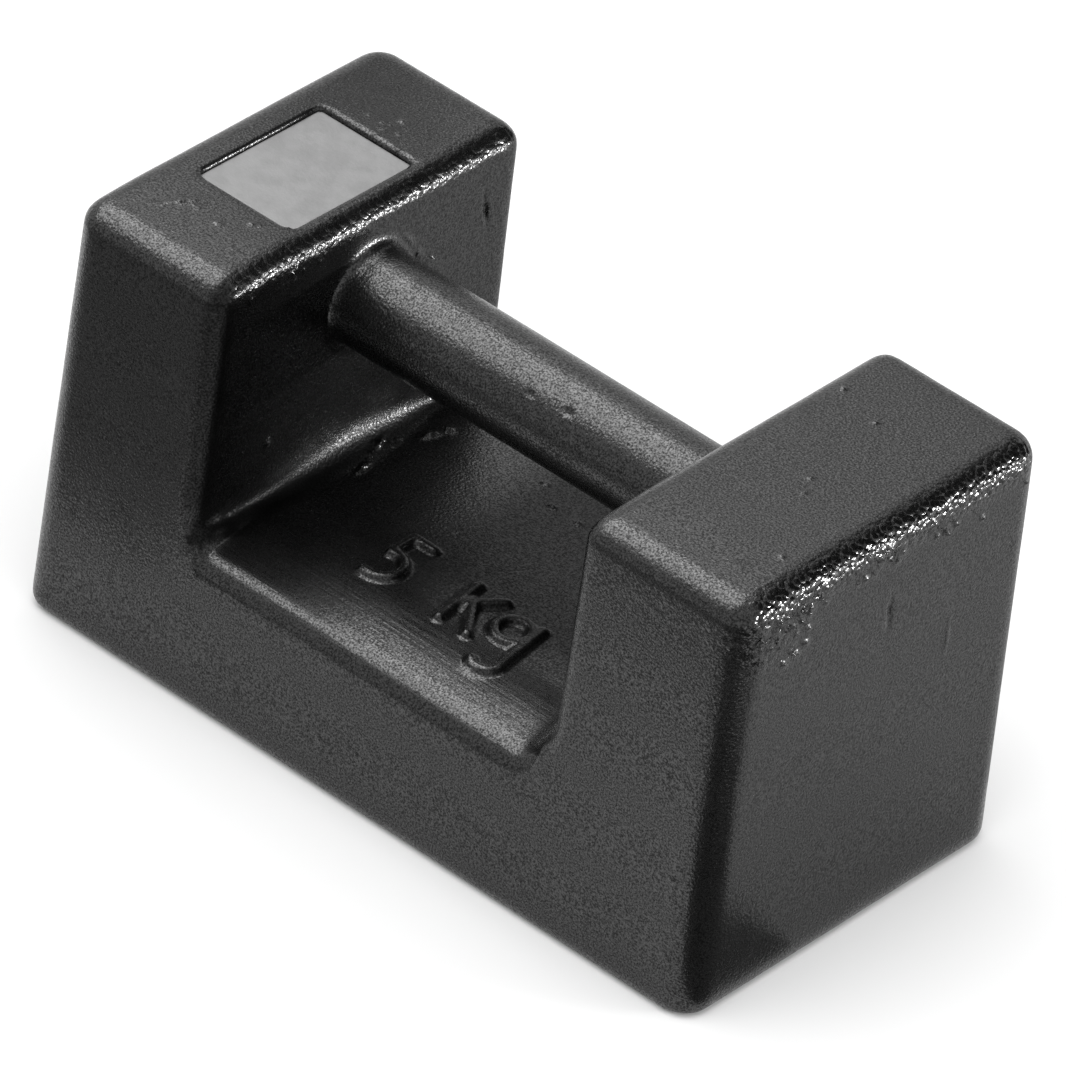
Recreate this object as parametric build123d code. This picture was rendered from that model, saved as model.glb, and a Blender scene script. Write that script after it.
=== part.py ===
"""Calibration weight: a 5 kg bar weight cast in iron with its own handle.

Two uprights stand on a solid base, and a round bar joins them as the handle. One
upright holds an adjusting cavity that opens on its top: lead shot lies in the
chamber, a steel plate closes it, and poured lead seals the plate in.

Frame: millimetres, origin at the middle of the base's underside, +X along the
handle, +Z up, and the front face, towards which the mark reads, on -Y.
"""
from build123d import *
import math
import os

os.makedirs("parts", exist_ok=True)

# Outer block: flat faces measured before the edges are rounded; each leans out to the foot
height = 84.0
top_length, top_width = 149.6, 76.4
end_draft, side_draft = 1.2, 1.75
base_length = top_length + 2 * end_draft
base_width = top_width + 2 * side_draft

# Saddle between the uprights
floor_height = 32.6
left_upright, right_upright = 34.3, 36.0
left_wall_x = left_upright - top_length / 2
right_wall_x = top_length / 2 - right_upright
saddle_length = right_wall_x - left_wall_x
saddle_middle = (left_wall_x + right_wall_x) / 2
left_floor_fillet, right_floor_fillet = 4.0, 9.0

# Handle, cast with the body
handle_diameter = 18.8
handle_drop = 18.3
handle_height = height - handle_drop
handle_root_fillet = 2.0

# Roundings of the casting; its upright corners are fuller than its top edges
top_edge_radius = 4.8
corner_extra = 1.0
corner_radius = top_edge_radius + corner_extra
face_edge_radius = 3.8
foot_radius = 2.5

# Raised mark on the saddle's floor: nominal mass and unit, read from the front.
# Sizes are to the strokes' middle lines, and places count from the saddle's middle.
stroke_rise, stroke_width = 1.1, 3.2
stroke_root, flank_angle = 0.5, 30.0
mark_margin = 15.8
mark_base = mark_margin - top_width / 2
five_x, five_width, five_height = -13.3, 4.4, 12.9
five_waist, five_bowl = 7.0, 3.7
k_x, k_height, k_reach, k_lean = 1.1, 11.4, 6.8, 0.6
k_fork, k_knee = 4.6, 0.65
g_x, g_height, g_middle, g_bowl = 12.6, 10.2, 6.4, 3.3
g_lean, g_turn, g_tail, g_tip = 1.5, 2.0, 5.2, 4.2

# Adjusting cavity in the left upright
mouth_end_wall, mouth_shift = 8.35, -0.9
mouth_length, mouth_width = 20.9, 30.3
mouth_corner, undercut = 1.0, 0.6
mouth_x = mouth_end_wall + mouth_length / 2 - top_length / 2
seal_recess, seal_thickness = 1.2, 4.6
plate_thickness, plate_clearance = 3.0, 0.25
mouth_depth = seal_recess + seal_thickness + plate_thickness
plate_step_x, plate_step_y = 2.45, 3.15
chamber_length = mouth_length - 2 * plate_step_x
chamber_width = mouth_width - 2 * plate_step_y
chamber_corner, chamber_depth = 3.0, 27.2
chamber_floor = height - mouth_depth - chamber_depth

# Lead shot in the chamber
shot_diameter, shot_gap, seat_gap = 6.0, 0.2, 0.03
shot_columns, shot_rows = 2, 3


def rounded_block():
    """The outer block with its taper, corners, foot and outer top edges rounded."""
    base = Rectangle(base_length, base_width)
    top = Pos(0, 0, height) * Rectangle(top_length, top_width)
    block = loft([base.face(), top.face()], ruled=True)
    uprights = block.edges().filter_by(lambda e: e.bounding_box().size.Z > height / 2)
    block = fillet(uprights, corner_radius)
    return fillet(block.edges().group_by(Axis.Z)[0], foot_radius)


def saddle_cut():
    """The space between the uprights, with each of its lower corners rounded."""
    opening = height + top_edge_radius - floor_height
    cut = Box(saddle_length, 2 * base_width, opening)
    cut = Pos(saddle_middle, 0, floor_height + opening / 2) * cut
    lower = cut.edges().filter_by(Axis.Y).group_by(Axis.Z)[0].sort_by(Axis.X)
    cut = fillet(lower[0], left_floor_fillet)
    lower = cut.edges().filter_by(Axis.Y).group_by(Axis.Z)[0].sort_by(Axis.X)
    return fillet(lower[-1], right_floor_fillet)


def is_top_edge(edge):
    return edge.bounding_box().min.Z > height - 0.01


def is_saddle_rim(edge):
    """An edge where the saddle leaves the front or the back face."""
    box = edge.bounding_box()
    inside = left_wall_x - 0.01 < box.min.X and box.max.X < right_wall_x + 0.01
    above_floor = box.min.Z > floor_height - 0.01
    return inside and above_floor and abs(edge.center().Y) > top_width / 4


def handle_bar():
    bar = Rot(0, 90, 0) * Cylinder(handle_diameter / 2, saddle_length)
    return Pos(saddle_middle, 0, handle_height) * bar


def is_handle_root(edge):
    size = edge.bounding_box().size
    flat = size.X < 0.01
    return flat and abs(size.Y - handle_diameter) < 0.1 and abs(size.Z - handle_diameter) < 0.1


def raised(outline):
    """A flat outline raised from the saddle's floor, with sloping flanks and a sunk root."""
    placed = Pos(saddle_middle, 0, floor_height - stroke_root) * outline
    return extrude(placed, amount=stroke_root + stroke_rise, taper=flank_angle)


def stroke(path):
    """A raised stroke along a line or an arc, with round ends."""
    tip = Circle(stroke_width / 2)
    return raised(Pos(path @ 0) * tip + Pos(path @ 1) * tip + trace(path, stroke_width))


def ring(x, y, radius):
    """A raised stroke that closes on itself."""
    outline = Circle(radius + stroke_width / 2) - Circle(radius - stroke_width / 2)
    return raised(Pos(x, y) * outline)


def five():
    left, right = five_x - five_width / 2, five_x + five_width / 2
    top = mark_base + five_height
    waist = mark_base + five_waist
    bar = Line((right, top), (left, top))
    neck = Line((left, top), (left, waist))
    bowl = RadiusArc((left, waist), (left, mark_base), -five_bowl, short_sagitta=False)
    return [stroke(bar), stroke(neck), stroke(bowl)]


def letter_k():
    top = mark_base + k_height
    tip = (k_x + k_reach - 2 * k_lean, top)
    stem = Line((k_x - k_lean, top), (k_x + k_lean, mark_base))
    arm = Line(tip, (k_x, mark_base + k_fork))
    leg = Line(arm @ k_knee, (k_x + k_reach, mark_base))
    return [stroke(stem), stroke(arm), stroke(leg)]


def letter_g():
    top = mark_base + g_height
    stem_x = g_x + g_bowl
    stem = Line((stem_x, top), (stem_x + g_lean, mark_base - g_turn))
    hook = ThreePointArc(stem @ 1, (stem_x - g_lean / 2, mark_base - g_tail), (g_x, mark_base - g_tip))
    return [ring(g_x, mark_base + g_middle, g_bowl), stroke(stem), stroke(hook)]


def mouth_cut():
    """The cavity's mouth, wider at the bottom so that the lead can't come out."""
    upper = RectangleRounded(mouth_length, mouth_width, mouth_corner)
    lower = RectangleRounded(mouth_length + 2 * undercut, mouth_width + 2 * undercut, mouth_corner)
    upper = Pos(mouth_x, mouth_shift, height) * upper
    lower = Pos(mouth_x, mouth_shift, height - mouth_depth) * lower
    return loft([lower.face(), upper.face()], ruled=True)


def chamber_cut():
    """The chamber below the mouth, narrower than it, so that the plate lies on a step."""
    section = RectangleRounded(chamber_length, chamber_width, chamber_corner)
    return extrude(Pos(mouth_x, mouth_shift, chamber_floor) * section, amount=chamber_depth)


def lead_seal():
    """Lead poured into the mouth, on top of the closing plate."""
    middle = height - seal_recess - seal_thickness / 2
    slab = Box(mouth_length + 4 * undercut, mouth_width + 4 * undercut, seal_thickness)
    return mouth_cut() & Pos(mouth_x, mouth_shift, middle) * slab


def closing_plate():
    middle = height - mouth_depth + plate_thickness / 2
    length, width = mouth_length - 2 * plate_clearance, mouth_width - 2 * plate_clearance
    return Pos(mouth_x, mouth_shift, middle) * Box(length, width, plate_thickness)


def adjusting_shot():
    """Two layers of lead balls, the upper ones in the hollows of the lower."""
    pitch = shot_diameter + shot_gap
    first = chamber_floor + shot_diameter / 2 + seat_gap
    rise = math.sqrt(shot_diameter**2 - pitch**2 / 2) + seat_gap
    balls = []
    for layer in range(2):
        columns, rows = shot_columns - layer, shot_rows - layer
        for i in range(columns):
            for j in range(rows):
                x = mouth_x + (i - (columns - 1) / 2) * pitch
                y = mouth_shift + (j - (rows - 1) / 2) * pitch
                balls.append(Pos(x, y, first + layer * rise) * Sphere(shot_diameter / 2))
    return Compound(children=balls)


def body_casting():
    body = rounded_block() - saddle_cut()
    rims = body.edges().filter_by(is_saddle_rim)
    body = fillet(rims, face_edge_radius)
    body = fillet(body.edges().filter_by(is_top_edge), top_edge_radius)
    body = body + handle_bar()
    body = fillet(body.edges().filter_by(is_handle_root), handle_root_fillet)
    for mark in five() + letter_k() + letter_g():
        body = body + mark
    return body - mouth_cut() - chamber_cut()


nodes = {
    "body_casting": body_casting(),
    "closing_plate": closing_plate(),
    "lead_seal": lead_seal(),
    "adjusting_shot": adjusting_shot(),
}
for name, solid in nodes.items():
    export_step(solid, f"parts/{name}.step")
    print(name, round(solid.volume / 1000, 3), "cm3")
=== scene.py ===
import math

import bmesh
import bpy
import numpy as np
from mathutils import Matrix, Vector, noise


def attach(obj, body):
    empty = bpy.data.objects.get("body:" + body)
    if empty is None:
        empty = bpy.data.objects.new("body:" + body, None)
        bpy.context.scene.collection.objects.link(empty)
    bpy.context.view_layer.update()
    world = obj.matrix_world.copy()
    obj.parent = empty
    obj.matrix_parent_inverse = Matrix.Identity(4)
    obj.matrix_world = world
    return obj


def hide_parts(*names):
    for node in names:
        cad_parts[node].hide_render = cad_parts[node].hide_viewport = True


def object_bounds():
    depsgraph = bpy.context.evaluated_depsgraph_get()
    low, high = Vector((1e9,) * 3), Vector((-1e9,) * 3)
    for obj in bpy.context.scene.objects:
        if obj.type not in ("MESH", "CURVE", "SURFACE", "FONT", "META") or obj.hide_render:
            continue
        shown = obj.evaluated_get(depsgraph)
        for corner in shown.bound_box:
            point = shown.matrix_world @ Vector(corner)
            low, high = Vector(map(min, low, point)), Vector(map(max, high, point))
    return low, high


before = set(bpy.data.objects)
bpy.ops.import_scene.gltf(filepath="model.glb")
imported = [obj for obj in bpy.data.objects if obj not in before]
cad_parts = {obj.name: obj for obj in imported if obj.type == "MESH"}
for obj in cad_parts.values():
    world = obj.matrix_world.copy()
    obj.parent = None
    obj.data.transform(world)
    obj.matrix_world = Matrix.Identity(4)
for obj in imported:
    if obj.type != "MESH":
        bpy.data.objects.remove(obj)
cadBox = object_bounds()
scene = bpy.context.scene
scene.view_settings.view_transform = "Standard"
mm = 0.001
print("frame loaded:", sorted(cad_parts))


# camera, floor and light

camera = dict(
    azimuth=36.96, elevation=36.25, roll=7.93,
    distance=2079.5, lookHeight=42.0, lift=-2.53, slide=0.40,
    sensor=36.0, lens=420.2, farClip=20000.0,
)
stand = dict(size=6000.0, paper=0.86, roughness=0.9)
sky = dict(level=0.85)
lampAim = (0, 0, 40)
lamps = dict(
    # azimuth and elevation in degrees, distance and sides in mm, power in watts;
    # diffuse lights the surfaces, and glossy shows in their reflections
    frontLeft=dict(at=(-80, 59), distance=1300, sides=(1300, 1300), power=20.5, diffuse=False, glossy=True),
    backLeft=dict(at=(-128, 52), distance=1300, sides=(800, 900), power=2, diffuse=False, glossy=True),
    backRight=dict(at=(126, 4), distance=1100, sides=(340, 44), power=11.5, diffuse=True, glossy=True),
    overhead=dict(at=(-10, 71), distance=1500, sides=(1600, 1600), power=17, diffuse=True, glossy=False),
)
# painted shade: grey and black sheets that show in reflections alone; the floor sheets stand in for the
# weight's own shadows on the floor, the two high ones for darker surroundings
paintedShadeSheets = dict(
    # middle, sides and the way each faces
    floorLeft=dict(at=(-368, -366, 1), sides=(600, 600), facing=(0, 0, 1), colour=0.22),
    floorFront=dict(at=(128, -415, 1), sides=(380, 560), facing=(0, 0, 1), colour=0.14),
    floorRight=dict(at=(128, -70, 1), sides=(100, 120), facing=(0, 0, 1), colour=0.06),
    floorEnd=dict(at=(168, 95, 1), sides=(180, 210), facing=(0, 0, 1), colour=0.5),
    floorNear=dict(at=(5, 67, 1.5), sides=(120, 50), facing=(0, 0, 1), colour=0.1),
    floorBehind=dict(at=(-7, 330, 2), sides=(165, 560), facing=(0, 0, 1), colour=0.45),
    topBehind=dict(at=(-124, 97, 157), sides=(40, 44), facing=(0, -1, 0), colour=0.3),
    highRight=dict(at=(302, 710, 504), sides=(800, 1040), facing=(0.335, 0.789, 0.515), colour=0.01),
)


def direction(azimuth, elevation):
    a, e = math.radians(azimuth), math.radians(elevation)
    return Vector((math.sin(a) * math.cos(e), -math.cos(a) * math.cos(e), math.sin(e)))


def addCamera():
    back = direction(camera["azimuth"], camera["elevation"])
    a, roll = math.radians(camera["azimuth"]), math.radians(camera["roll"])
    level = Vector((math.cos(a), math.sin(a), 0))
    up = back.cross(level)
    right = math.cos(roll) * level + math.sin(roll) * up
    top = math.cos(roll) * up - math.sin(roll) * level
    data = bpy.data.cameras.new("camera")
    data.sensor_width = camera["sensor"]
    data.lens = camera["lens"]
    data.clip_end = camera["farClip"] * mm
    place = Matrix((right, top, back)).transposed().to_4x4()
    target = Vector((0, 0, camera["lookHeight"]))
    target = target + right * camera["slide"] + top * camera["lift"]
    place.translation = (target + back * camera["distance"]) * mm
    holder = bpy.data.objects.new("camera", data)
    holder.matrix_world = place
    scene.collection.objects.link(holder)
    scene.camera = holder


def addLamp(name, at, distance, sides, power, diffuse, glossy):
    data = bpy.data.lights.new(name, "AREA")
    data.shape = "RECTANGLE"
    data.size, data.size_y = sides[0] * mm, sides[1] * mm
    data.energy = power
    lamp = bpy.data.objects.new(name, data)
    toLamp = direction(*at)
    lamp.location = (Vector(lampAim) + toLamp * distance) * mm
    lamp.rotation_euler = toLamp.to_track_quat("Z", "Y").to_euler()
    lamp.visible_diffuse, lamp.visible_glossy = diffuse, glossy
    scene.collection.objects.link(lamp)


def flatMesh(name, width, length):
    x, y = width / 2 * mm, length / 2 * mm
    mesh = bpy.data.meshes.new(name)
    mesh.from_pydata([(-x, -y, 0), (x, -y, 0), (x, y, 0), (-x, y, 0)], [], [(0, 1, 2, 3)])
    return mesh


def addFloor():
    paper = plainMaterial("paper", stand["paper"], stand["roughness"])
    newPiece("floor", flatMesh("floor", stand["size"], stand["size"]), paper)


def addSky():
    world = bpy.data.worlds.new("studio")
    world.use_nodes = True
    world.node_tree.nodes["Background"].inputs["Color"].default_value = grey(sky["level"])
    scene.world = world


def addCard(name, at, sides, facing, colour):
    piece = newPiece(name, flatMesh(name, *sides), plainMaterial(name, colour, 1.0))
    piece.location = Vector(at) * mm
    piece.rotation_euler = Vector(facing).to_track_quat("Z", "Y").to_euler()
    piece.visible_camera = piece.visible_shadow = piece.visible_diffuse = False


# shader maths

class Sock:
    # an output socket that takes part in shader maths
    def __init__(self, graph, socket):
        self.graph, self.socket = graph, socket

    def maths(self, operation, first, second):
        return self.graph.add("ShaderNodeMath", {"operation": operation}, {0: first, 1: second})[0]

    def __add__(self, other):
        return self.maths("ADD", self, other)

    def __radd__(self, other):
        return self.maths("ADD", other, self)

    def __sub__(self, other):
        return self.maths("SUBTRACT", self, other)

    def __rsub__(self, other):
        return self.maths("SUBTRACT", other, self)

    def __mul__(self, other):
        return self.maths("MULTIPLY", self, other)

    def __rmul__(self, other):
        return self.maths("MULTIPLY", other, self)


class Graph:
    # one material's node tree
    def __init__(self, name):
        self.material = bpy.data.materials.new(name)
        self.material.use_nodes = True
        self.tree = self.material.node_tree
        self.tree.nodes.clear()

    def add(self, kind, settings=None, sockets=None):
        node = self.tree.nodes.new(kind)
        for key, value in (settings or {}).items():
            setattr(node, key, value)
        for key, value in (sockets or {}).items():
            if isinstance(value, Sock):
                self.tree.links.new(value.socket, node.inputs[key])
            else:
                node.inputs[key].default_value = value
        return [Sock(self, socket) for socket in node.outputs]

    def place(self):
        return self.add("ShaderNodeTexCoord")[3]

    def mask(self, name):
        # a number that the mesh keeps at each of its points
        return self.add("ShaderNodeAttribute", {"attribute_name": name})[2]

    def noise(self, place, size, detail=2.0, roughness=0.5):
        # size is the length of one wave, in mm
        settings = {"noise_dimensions": "3D"}
        values = {"Vector": place, "Scale": 1 / (size * mm), "Detail": detail, "Roughness": roughness}
        return self.add("ShaderNodeTexNoise", settings, values)[0]

    def cells(self, place, size):
        # distance from the middle of the nearest of many small cells, size mm apart
        settings = {"feature": "F1"}
        values = {"Vector": place, "Scale": 1 / (size * mm)}
        return self.add("ShaderNodeTexVoronoi", settings, values)[0]

    def range(self, value, low, high, outLow=0.0, outHigh=1.0):
        values = {"Value": value, "From Min": low, "From Max": high, "To Min": outLow, "To Max": outHigh}
        return self.add("ShaderNodeMapRange", {"interpolation_type": "SMOOTHSTEP"}, values)[0]

    def mix(self, share, first, second):
        # sockets 6 and 7 are a mix's colours, and 2 is the colour it gives
        return self.add("ShaderNodeMix", {"data_type": "RGBA"}, {0: share, 6: first, 7: second})[2]

    def bump(self, height, depth, normal=None):
        # height runs from 0 to 1 over depth mm
        values = {"Height": height, "Distance": depth * mm, "Strength": 1.0}
        if normal:
            values["Normal"] = normal
        return self.add("ShaderNodeBump", None, values)[0]

    def finish(self, sockets):
        shader = self.add("ShaderNodeBsdfPrincipled", None, sockets)[0]
        self.add("ShaderNodeOutputMaterial", None, {"Surface": shader})
        return self.material


def grey(value):
    return (value, value, value, 1.0)


def plainMaterial(name, colour, roughness):
    return Graph(name).finish({"Base Color": grey(colour), "Roughness": roughness})


# meshes

def newPiece(name, mesh, material):
    piece = bpy.data.objects.new(name, mesh)
    scene.collection.objects.link(piece)
    mesh.materials.clear()
    mesh.materials.append(material)
    return piece


def readPoints(mesh):
    points = np.empty(len(mesh.vertices) * 3, np.float32)
    mesh.vertices.foreach_get("co", points)
    return points.reshape(-1, 3).astype(float) / mm


def writePoints(mesh, points):
    mesh.vertices.foreach_set("co", (points * mm).astype(np.float32).ravel())
    mesh.update()


def readNormals(mesh):
    normals = np.empty(len(mesh.vertices) * 3, np.float32)
    mesh.vertex_normals.foreach_get("vector", normals)
    return normals.reshape(-1, 3).astype(float)


def applied(piece):
    shown = piece.evaluated_get(bpy.context.evaluated_depsgraph_get())
    mesh = bpy.data.meshes.new_from_object(shown)
    bpy.data.objects.remove(piece)
    return mesh


def divideInside(mesh, low, high, cuts):
    # finer faces between two corners, in mm
    work = bmesh.new()
    work.from_mesh(mesh)
    inside = {v for v in work.verts if all(a < c / mm < b for a, c, b in zip(low, v.co, high))}
    edges = [e for e in work.edges if e.verts[0] in inside and e.verts[1] in inside]
    bmesh.ops.subdivide_edges(work, edges=edges, cuts=cuts, use_grid_fill=True)
    work.to_mesh(mesh)
    work.free()


softening = 0.5  # how far each pass draws a point to its neighbours
seedShift = (17.3, 5.1, 9.7)


def evenMesh(node, voxel, smoothing, fine=None):
    # an evenly divided copy of a CAD node, laid back on its surface and then softened
    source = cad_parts[node]
    piece = bpy.data.objects.new("draft", source.data.copy())
    scene.collection.objects.link(piece)
    remesh = piece.modifiers.new("remesh", "REMESH")
    remesh.mode = "VOXEL"
    remesh.voxel_size = voxel * mm
    mesh = applied(piece)
    if fine:
        divideInside(mesh, *fine)
    piece = bpy.data.objects.new("draft", mesh)
    scene.collection.objects.link(piece)
    wrap = piece.modifiers.new("wrap", "SHRINKWRAP")
    wrap.target = source
    wrap.wrap_method = "NEAREST_SURFACEPOINT"
    soften = piece.modifiers.new("soften", "SMOOTH")
    soften.factor = softening
    soften.iterations = smoothing
    mesh = applied(piece)
    mesh.polygons.foreach_set("use_smooth", [True] * len(mesh.polygons))
    return mesh


def noiseAt(points, size, seed):
    shift = Vector([seed * step for step in seedShift])
    return np.array([noise.noise(Vector(p) / size + shift) for p in points])


def smoothStep(values):
    t = np.clip(values, 0, 1)
    return t * t * (3 - 2 * t)


def rise(values, start, width):
    return smoothStep((values - start) / width)


def fall(values, end, width):
    return smoothStep((end - values) / width)


def hill(values, middle, width):
    return np.exp(-(((values - middle) / width) ** 2))


# the casting

casting = dict(
    voxel=1.0, smoothing=2,
    mark=((-19, -29, 31), (20, -4, 35.5), 2),
    leftWall=-40.5, rightWall=38.8, floorTop=32.6, top=84.0,
    # the left wall's fillet is fullest in the middle of its length
    root=4.0, rootMiddle=1.0, rootSpread=9.5, rootMore=2.6, rootLess=2.5, rootLessFrom=(12, 12),
    rootEnds=(33.5, 4), cornerBelow=0.4, cornerReach=8,
    # the saddle's floor and the tops fall away towards the front
    lipStart=-19.5, lipDrop=0.0065, lipWalls=2, lipFrom=(-8, 6), lipAbove=5,
    topStart=-20.0, topDrop=0.0025, topSink=0.3, topFrom=(-8, 8),
    # size, depth and seed
    waves=((24.0, 0.12, 1), (8.0, 0.05, 2), (3.0, 0.02, 3)), waveLevel=0.5,
    # the handle meets the left wall almost without a fillet on its lower front side
    handleRadius=9.4, handleAxis=65.7, sharpRoot=0.75, sharpFrom=(25, 25),
    sharpMiddle=1, sharpReach=1.6, sharpRing=(9, 11.7),
)
paint = dict(
    colour=0.003, specular=0.87, glossy=0.18, matt=0.4,
    speck=0.34, speckRange=(0.26, 0.74), dull=0.82,
    cloud=7.0, cloudRange=(0.3, 0.7, 0.85, 1.15),
    # shade and shadeRough set the painted shade: how much reflection it takes and how much rougher it makes
    # the paint
    shade=0.77, shadeRough=0.12, glintSmooth=0.1,
    sand=1.3, sandDepth=0.32, grain=0.5, grainDepth=0.08,
    streak=0.8, stretch=(0.05, 1.0, 1.0), streakDepth=0.05, grainLost=0.75,
)
# where shade is painted by taking reflection from the paint, and where it is sanded or sandy; a pair is
# where a change starts or ends, and how wide it is
masks = dict(
    paintedShadeFillet=dict(beside=(6, 4), above=(6, 4), back=(16, 17), inside=-1),
    paintedShadeEdge=dict(share=0.8, beside=(-4.3, 2), wall=2, front=(-33.5, 2), above=(1, 6)),
    paintedShadeFloor=dict(share=0.9, beside=(18, 14), end=8, front=(-24, 14), back=(38, 10)),
    sandedFloor=dict(walls=1, back=(-4, 10)),
    sandyEdge=dict(along=(70.5, 3), up=(75.5, 4)),
    sandyPatch=dict(face=70, across=(-30, 7), up=(76, 6)),
    sandyRim=dict(share=0.45, along=(-45, 3), wall=-38, up=(78, 3)),
    floorBand=(-5, 3),
)
# flaws of the casting: middle, direction, half length and half width in mm, and rise above the face
flaws = [
    # a slit on the left wall with its raised side
    ((-40.6, 29.3, 69.5), (0, 0.25, -1), 3.2, 0.45, -0.5),
    ((-40.6, 30.5, 69.0), (0, 0.25, -1), 2.4, 0.5, 0.4),
    # a forked seam and knobs on the left top, and knobs on the left wall, the front and the right corner
    ((-62.2, -24.8, 83.9), (0.56, 0.83, 0), 3.4, 0.55, 0.3),
    ((-60.9, -23.9, 83.9), (1, -0.4, 0), 1.3, 0.6, 0.3),
    ((-54.3, -24.6, 83.9), (1, 0, 0), 0.6, 0.5, 0.35),
    ((-50.5, -20.1, 83.9), (1, 0, 0), 0.6, 0.5, 0.35),
    ((-49.2, -19.3, 83.9), (1, 0, 0), 0.5, 0.5, 0.35),
    ((-40.6, -21.4, 45.0), (0, 1, 0), 0.5, 0.5, 0.45),
    ((-7.3, -39.7, 10.5), (1, 0, 0), 0.6, 0.5, 0.45),
    ((68.4, -39.3, 26.1), (1, 0, 0), 0.7, 0.5, 0.45),
    # specks on the saddle's floor, pits in the handle and knobs on the right top
    ((-12.1, 19.6, 32.5), (1, 0, 0), 0.7, 0.45, 0.6),
    ((-7.4, 15.6, 32.5), (1, 0, 0), 0.6, 0.45, 0.6),
    ((-1.1, 15.4, 32.5), (1, 0, 0), 0.6, 0.45, 0.5),
    ((9.5, -6.4, 72.4), (1, 0, 0), 0.8, 0.6, -0.4),
    ((1.7, -7.1, 71.8), (1, 0, 0), 0.6, 0.5, -0.3),
    ((43.9, 22.0, 83.9), (1, 0, 0), 0.6, 0.5, 0.35),
    ((53.5, 18.1, 83.9), (1, 0, 0), 0.5, 0.5, 0.35),
    ((56.7, -1.7, 83.9), (1, 0, 0), 0.6, 0.5, 0.35),
    ((58.2, -5.9, 83.9), (1, 0, 0), 0.5, 0.5, 0.35),
    ((67.6, -21.6, 83.9), (1, 0, 0), 0.6, 0.5, 0.35),
    # knobs, a pit and a seam on the right end
    ((74.9, -21.6, 70.9), (0, 1, 0), 0.7, 0.6, 0.5),
    ((74.9, -24.0, 69.1), (0, 1, 0), 0.7, 0.6, 0.5),
    ((74.9, -26.9, 68.2), (0, 1, 0), 0.8, 0.6, 0.5),
    ((75.0, 0.6, 65.2), (0, 0.05, -1), 3.0, 0.5, -0.4),
    ((75.1, 17.2, 52.0), (0, 0, 1), 3.2, 0.5, 0.15),
    # a bead round the top of the handle's root, with its tail
    ((-40.6, 9.6, 72.2), (0, 0.7, -0.7), 2.2, 0.55, 0.3),
    ((-40.6, 12.4, 68.9), (0, 0.6, -0.8), 2.2, 0.55, 0.3),
    ((-40.6, 14.8, 66.7), (0, 0.85, -0.5), 2.0, 0.5, 0.3),
    ((-40.6, 16.8, 65.1), (0, 1, 0), 0.7, 0.7, 0.8),
    # sand seams on the saddle's floor near the left wall
    ((-35.6, -2.0, 32.9), (-0.1, 1, 0), 1.6, 0.45, 0.9),
    ((-36.4, 0.8, 33.3), (-0.5, 1, 0.1), 1.7, 0.45, 1.0),
    ((-37.2, 4.4, 33.8), (-0.2, 1, 0.2), 2.0, 0.45, 1.0),
    ((-37.0, 7.6, 33.8), (0.3, 1, -0.1), 1.4, 0.45, 0.9),
    ((-34.2, 14.2, 32.6), (0.3, 1, 0), 1.5, 0.5, 0.9),
    ((-33.5, 17.2, 32.5), (0.1, 1, 0), 1.2, 0.5, 0.9),
]
# small knobs scattered by chance: middle, reach, how many, rise and seed
scatters = [
    ((-55.0, 18.8, 83.9), (4.5, 4.0, 0), 11, 0.22, 4),
    ((74.8, -28.0, 75.5), (0, 9.0, 6.0), 34, 0.45, 5),
    ((74.7, -8.0, 77.5), (0, 34.0, 2.5), 34, 0.4, 6),
    ((-40.6, -20.0, 78.5), (0, 16.0, 1.6), 14, 0.25, 7),
]
knob = dict(spread=0.5, heading=(0.3, 1, 0), size=(0.35, 0.6), narrow=0.9, rise=(0.6, 1.4))
# how far the mesh is divided round a flaw, and how ragged the flaw is
relief = dict(reach=1.8, margin=0.9, depth=1.5, cuts=2, ragged=0.6, raggedSize=0.9)


def paintMaterial():
    graph = Graph("blackPaint")
    place = graph.place()
    shade, glint, sanded = graph.mask("shade"), graph.mask("glint"), graph.mask("sanded")
    # dull pores among the glossy grains
    speck = graph.range(graph.noise(place, paint["speck"], 1.0, 0.6), *paint["speckRange"])
    cloud = graph.range(graph.noise(place, paint["cloud"], 4.0, 0.6), *paint["cloudRange"])
    # the colour is doubled and the share halved, because a mix's share ends at 1
    colour = graph.mix(cloud * 0.5, grey(0.0), grey(paint["colour"] * 2))
    rough = paint["glossy"] + cloud * speck * (paint["matt"] - paint["glossy"])
    # where the painted shade lies the paint is rougher, and metallic over its near-black colour takes the
    # reflections away
    rough = rough + shade * paint["shadeRough"] - glint * paint["glintSmooth"]
    metallic = 1 - (1 - speck * paint["dull"]) * (1 - shade * paint["shade"])
    # streaks of the sanding, lumps of sand and the paint's own grain
    stretched = {0: place, 1: paint["stretch"]}
    lengthways = graph.add("ShaderNodeVectorMath", {"operation": "MULTIPLY"}, stretched)[0]
    streaks = graph.noise(lengthways, paint["streak"], 3.0, 0.6) * sanded
    sand = graph.cells(place, paint["sand"])
    lumps = (1 - sand * sand) * glint
    grain = graph.noise(place, paint["grain"], 1.0, 0.5) * (1 - sanded * paint["grainLost"])
    normal = graph.bump(lumps, paint["sandDepth"])
    normal = graph.bump(streaks, paint["streakDepth"], normal)
    normal = graph.bump(grain, paint["grainDepth"], normal)
    values = {"Base Color": colour, "Roughness": rough, "Metallic": metallic, "Normal": normal}
    values["Specular IOR Level"] = paint["specular"]
    return graph.finish(values)


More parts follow.
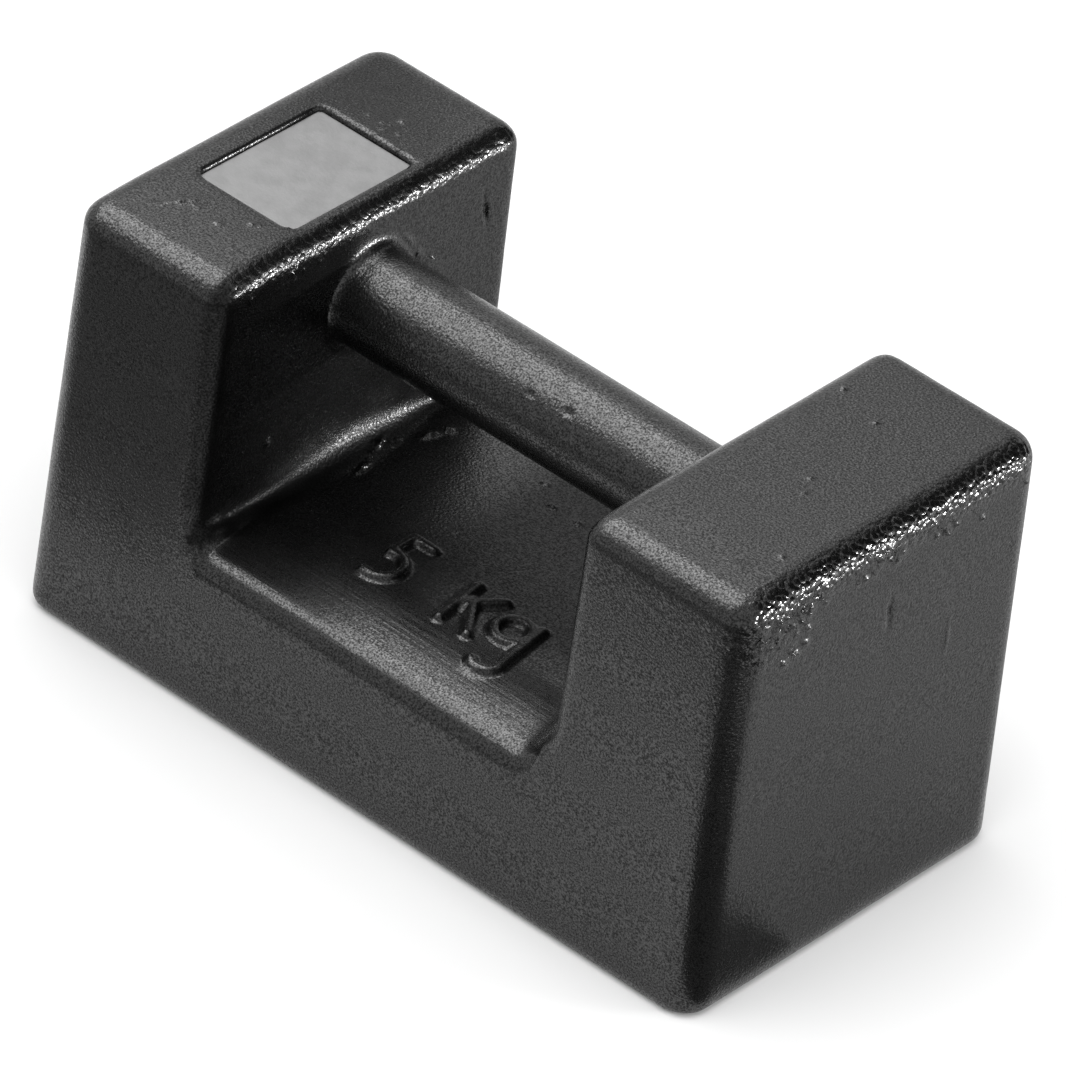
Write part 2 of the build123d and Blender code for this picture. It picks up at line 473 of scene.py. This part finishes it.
def shapeFillet(points):
    # the left wall's fillet, drawn again with a radius that changes along its length
    x, y, z = points.T
    beside, above = x - casting["leftWall"], z - casting["floorTop"]
    along = y - casting["rootMiddle"]
    radius = casting["root"] + casting["rootMore"] * hill(along, 0, casting["rootSpread"])
    radius = radius - casting["rootLess"] * rise(abs(along), *casting["rootLessFrom"])
    away = np.hypot(beside - radius, above - radius)
    onArc = (beside < radius) & (above < radius)
    pull = np.where(onArc, 1 - radius / np.maximum(away, 0.01), 0)
    newBeside = np.where(onArc, beside + (radius - beside) * pull, np.where(beside < above, 0, beside))
    newAbove = np.where(onArc, above + (radius - above) * pull, np.where(beside < above, above, 0))
    near = (beside < casting["cornerReach"]) & (above < casting["cornerReach"])
    inCorner = (np.minimum(beside, above) > -casting["cornerBelow"]) & near
    share = inCorner * fall(abs(y), *casting["rootEnds"])
    points[:, 0] += share * (newBeside - beside)
    points[:, 2] += share * (newAbove - above)


def shapeFaces(points):
    # the saddle's floor and the tops fall away towards the front
    x, y, z = points.T
    above = z - casting["floorTop"]
    between = x > casting["leftWall"] + casting["lipWalls"]
    between = between * (x < casting["rightWall"] - casting["lipWalls"])
    onFloor = rise(above, *casting["lipFrom"]) * (z < casting["floorTop"] + casting["lipAbove"])
    ahead = np.maximum(casting["lipStart"] - y, 0)
    points[:, 2] -= between * onFloor * casting["lipDrop"] * ahead ** 2
    onTop = rise(z - casting["top"], *casting["topFrom"])
    ahead = np.maximum(casting["topStart"] - y, 0)
    points[:, 2] -= onTop * (casting["topSink"] + casting["topDrop"] * ahead ** 2)


def shapeHandleRoot(points, beside):
    # the handle's root on its lower front side
    y, up = points[:, 1], points[:, 2] - casting["handleAxis"]
    radius, angle = np.hypot(y, up), np.degrees(np.arctan2(-y, up))
    inner, outer = casting["sharpRing"]
    atRoot = abs(beside - casting["sharpMiddle"]) < casting["sharpReach"]
    ring = atRoot * (radius > inner) * (radius < outer)
    share = rise(angle, *casting["sharpFrom"]) * ring * casting["sharpRoot"]
    shrink = 1 - share * (1 - casting["handleRadius"] / np.maximum(radius, 1))
    points[:, 1] *= shrink
    points[:, 2] = casting["handleAxis"] + up * shrink


def shapeCasting(mesh):
    points, normals = readPoints(mesh), readNormals(mesh)
    beside = points[:, 0] - casting["leftWall"]
    shapeFillet(points)
    shapeFaces(points)
    shapeHandleRoot(points, beside)
    # cast faces are never quite flat, and the waves only go inwards
    for size, depth, seed in casting["waves"]:
        level = casting["waveLevel"] * (1 + noiseAt(points, size, seed))
        points -= normals * level[:, None] * depth
    points[:, 2] = np.maximum(points[:, 2], 0)
    writePoints(mesh, points)


def scatteredFlaws():
    marks = list(flaws)
    for middle, reach, count, height, seed in scatters:
        chance = np.random.default_rng(seed)
        for _ in range(count):
            at = tuple(m + r * chance.normal() * knob["spread"] for m, r in zip(middle, reach))
            size = chance.uniform(*knob["size"])
            knobRise = height * chance.uniform(*knob["rise"])
            marks.append((at, knob["heading"], size, size * knob["narrow"], knobRise))
    return marks


def addFlaws(mesh):
    # the mesh is divided finely round each flaw, which is then raised or sunk there
    work = bmesh.new()
    work.from_mesh(mesh)
    places, normals = readPoints(mesh), readNormals(mesh)
    for at, heading, length, width, height in scatteredFlaws():
        offsets = places - np.array(at)
        nearest = int(np.argmin(np.sum(offsets ** 2, axis=1)))
        out, start = Vector(normals[nearest]), Vector(places[nearest])
        along = Vector(heading)
        along = (along - out * along.dot(out)).normalized()
        across = out.cross(along)
        offsets = places - places[nearest]
        inside = abs(offsets @ np.array(out)) < relief["depth"]
        for side, extent in ((along, length), (across, width)):
            inside &= abs(offsets @ np.array(side)) < relief["reach"] * extent + relief["margin"]
        found = np.nonzero(inside)[0]
        work.verts.ensure_lookup_table()
        chosen = [work.verts[i] for i in found]
        within = set(chosen)
        edges = dict.fromkeys(e for v in chosen for e in v.link_edges if e.other_vert(v) in within)
        made = bmesh.ops.subdivide_edges(work, edges=list(edges), cuts=relief["cuts"], use_grid_fill=True)
        # the division renews the vertices, so they are looked up again
        work.verts.ensure_lookup_table()
        fresh = [g for g in made["geom_inner"] if isinstance(g, bmesh.types.BMVert)]
        for vert in [work.verts[i] for i in found] + fresh:
            offset = vert.co / mm - start
            u, v = offset.dot(along) / length, offset.dot(across) / width
            ragged = 1 + relief["ragged"] * noise.noise(vert.co / (relief["raggedSize"] * mm))
            vert.co += out * (height * ragged * math.exp(-u * u - v * v) * mm)
    work.to_mesh(mesh)
    work.free()
    # nothing stands out of the CAD box
    low, high = (np.array(corner) / mm for corner in cadBox)
    writePoints(mesh, np.clip(readPoints(mesh), low, high))


def addMask(mesh, name, values):
    mesh.attributes.new(name, "FLOAT", "POINT").data.foreach_set("value", values.astype(np.float32))


def addMasks(mesh):
    x, y, z = readPoints(mesh).T
    beside, above = x - casting["leftWall"], z - casting["floorTop"]
    low, high = masks["floorBand"]
    onFloor = (above > low) * (above < high)
    # painted shade: the paint reflects less, and is rougher, low on the left wall's fillet towards the
    # front
    area = masks["paintedShadeFillet"]
    fillet = fall(beside, *area["beside"]) * fall(above, *area["above"]) * fall(y, *area["back"])
    fillet = fillet * (beside > area["inside"]) * (above > area["inside"])
    # painted shade: the paint reflects less on the left upright's inner front edge
    area = masks["paintedShadeEdge"]
    edge = area["share"] * rise(beside, *area["beside"]) * (beside < area["wall"])
    edge = edge * fall(y, *area["front"]) * rise(above, *area["above"])
    # and painted shade makes the paint reflect less in the middle of the saddle's floor
    area = masks["paintedShadeFloor"]
    middle = area["share"] * rise(beside, *area["beside"]) * fall(x, casting["rightWall"], area["end"])
    middle = middle * rise(y, *area["front"]) * fall(y, *area["back"]) * onFloor
    # all three are painted shade, kept as one mask
    addMask(mesh, "shade", np.maximum(np.maximum(fillet, edge), middle))
    # the saddle's floor is sanded along its front
    area = masks["sandedFloor"]
    between = (beside > area["walls"]) * (x < casting["rightWall"] - area["walls"])
    addMask(mesh, "sanded", between * onFloor * fall(y, *area["back"]))
    # coarse sand marks on the uprights' edges towards +X
    area = masks["sandyEdge"]
    right = rise(x, *area["along"]) * rise(z, *area["up"])
    area = masks["sandyPatch"]
    patch = hill(y, *area["across"]) * hill(z, *area["up"]) * (x > area["face"])
    area = masks["sandyRim"]
    left = area["share"] * rise(x, *area["along"]) * (x < area["wall"]) * rise(z, *area["up"])
    addMask(mesh, "glint", np.maximum(np.maximum(right, patch), left))


def castingPiece():
    mesh = evenMesh("body_casting", casting["voxel"], casting["smoothing"], casting["mark"])
    shapeCasting(mesh)
    addFlaws(mesh)
    addMasks(mesh)
    piece = newPiece("castBody", mesh, paintMaterial())
    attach(piece, "root")
    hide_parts("body_casting")
    triangles = sum(len(face.vertices) - 2 for face in mesh.polygons)
    print("casting:", len(mesh.polygons), "faces,", triangles, "triangles")


# the lead and what it closes in

lead = dict(
    voxel=0.4, smoothing=1, sink=0.05,
    colour=(0.203, 0.235), cloud=4.0, cloudRange=(0.35, 0.65), metallic=0.35,
    roughness=0.5, rougher=0.08, grain=0.7, grainDepth=0.05,
    # size, height and seed
    waves=((9.0, 0.10, 5), (2.5, 0.03, 6)),
)
steel = dict(colour=0.45, roughness=0.35, rougher=0.1, scratch=0.6, scratchDepth=0.01)


def leadMaterial():
    graph = Graph("pouredLead")
    place = graph.place()
    cloud = graph.range(graph.noise(place, lead["cloud"], 4.0, 0.6), *lead["cloudRange"])
    grain = graph.noise(place, lead["grain"], 3.0, 0.6)
    colour = graph.mix(cloud, *(grey(level) for level in lead["colour"]))
    values = {"Base Color": colour, "Metallic": lead["metallic"]}
    values["Roughness"] = lead["roughness"] + cloud * lead["rougher"]
    values["Normal"] = graph.bump(grain, lead["grainDepth"])
    return graph.finish(values)


def steelMaterial():
    graph = Graph("millSteel")
    scratch = graph.noise(graph.place(), steel["scratch"], 3.0)
    values = {"Base Color": grey(steel["colour"]), "Metallic": 1.0}
    values["Roughness"] = steel["roughness"] + scratch * steel["rougher"]
    values["Normal"] = graph.bump(scratch, steel["scratchDepth"])
    return graph.finish(values)


def leadPiece(material):
    mesh = evenMesh("lead_seal", lead["voxel"], lead["smoothing"])
    points, normals = readPoints(mesh), readNormals(mesh)
    for size, depth, seed in lead["waves"]:
        height = noiseAt(points, size, seed) * depth
        points[:, 2] += height * smoothStep(normals[:, 2]) - lead["sink"] * (normals[:, 2] > 0.5)
    writePoints(mesh, points)
    piece = newPiece("leadSeal", mesh, material)
    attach(piece, "root")
    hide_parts("lead_seal")
    print("lead:", len(mesh.polygons), "faces")


def dress(node, material):
    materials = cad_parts[node].data.materials
    materials.clear()
    materials.append(material)


# the scene

addCamera()
for name, lamp in lamps.items():
    addLamp(name, **lamp)
addSky()
addFloor()
# the sheets of painted shade, seen only in reflections
for name, sheet in paintedShadeSheets.items():
    addCard(name, **sheet)
print("stage ready")

castingPiece()
leadMetal = leadMaterial()
leadPiece(leadMetal)
dress("adjusting_shot", leadMetal)
dress("closing_plate", steelMaterial())
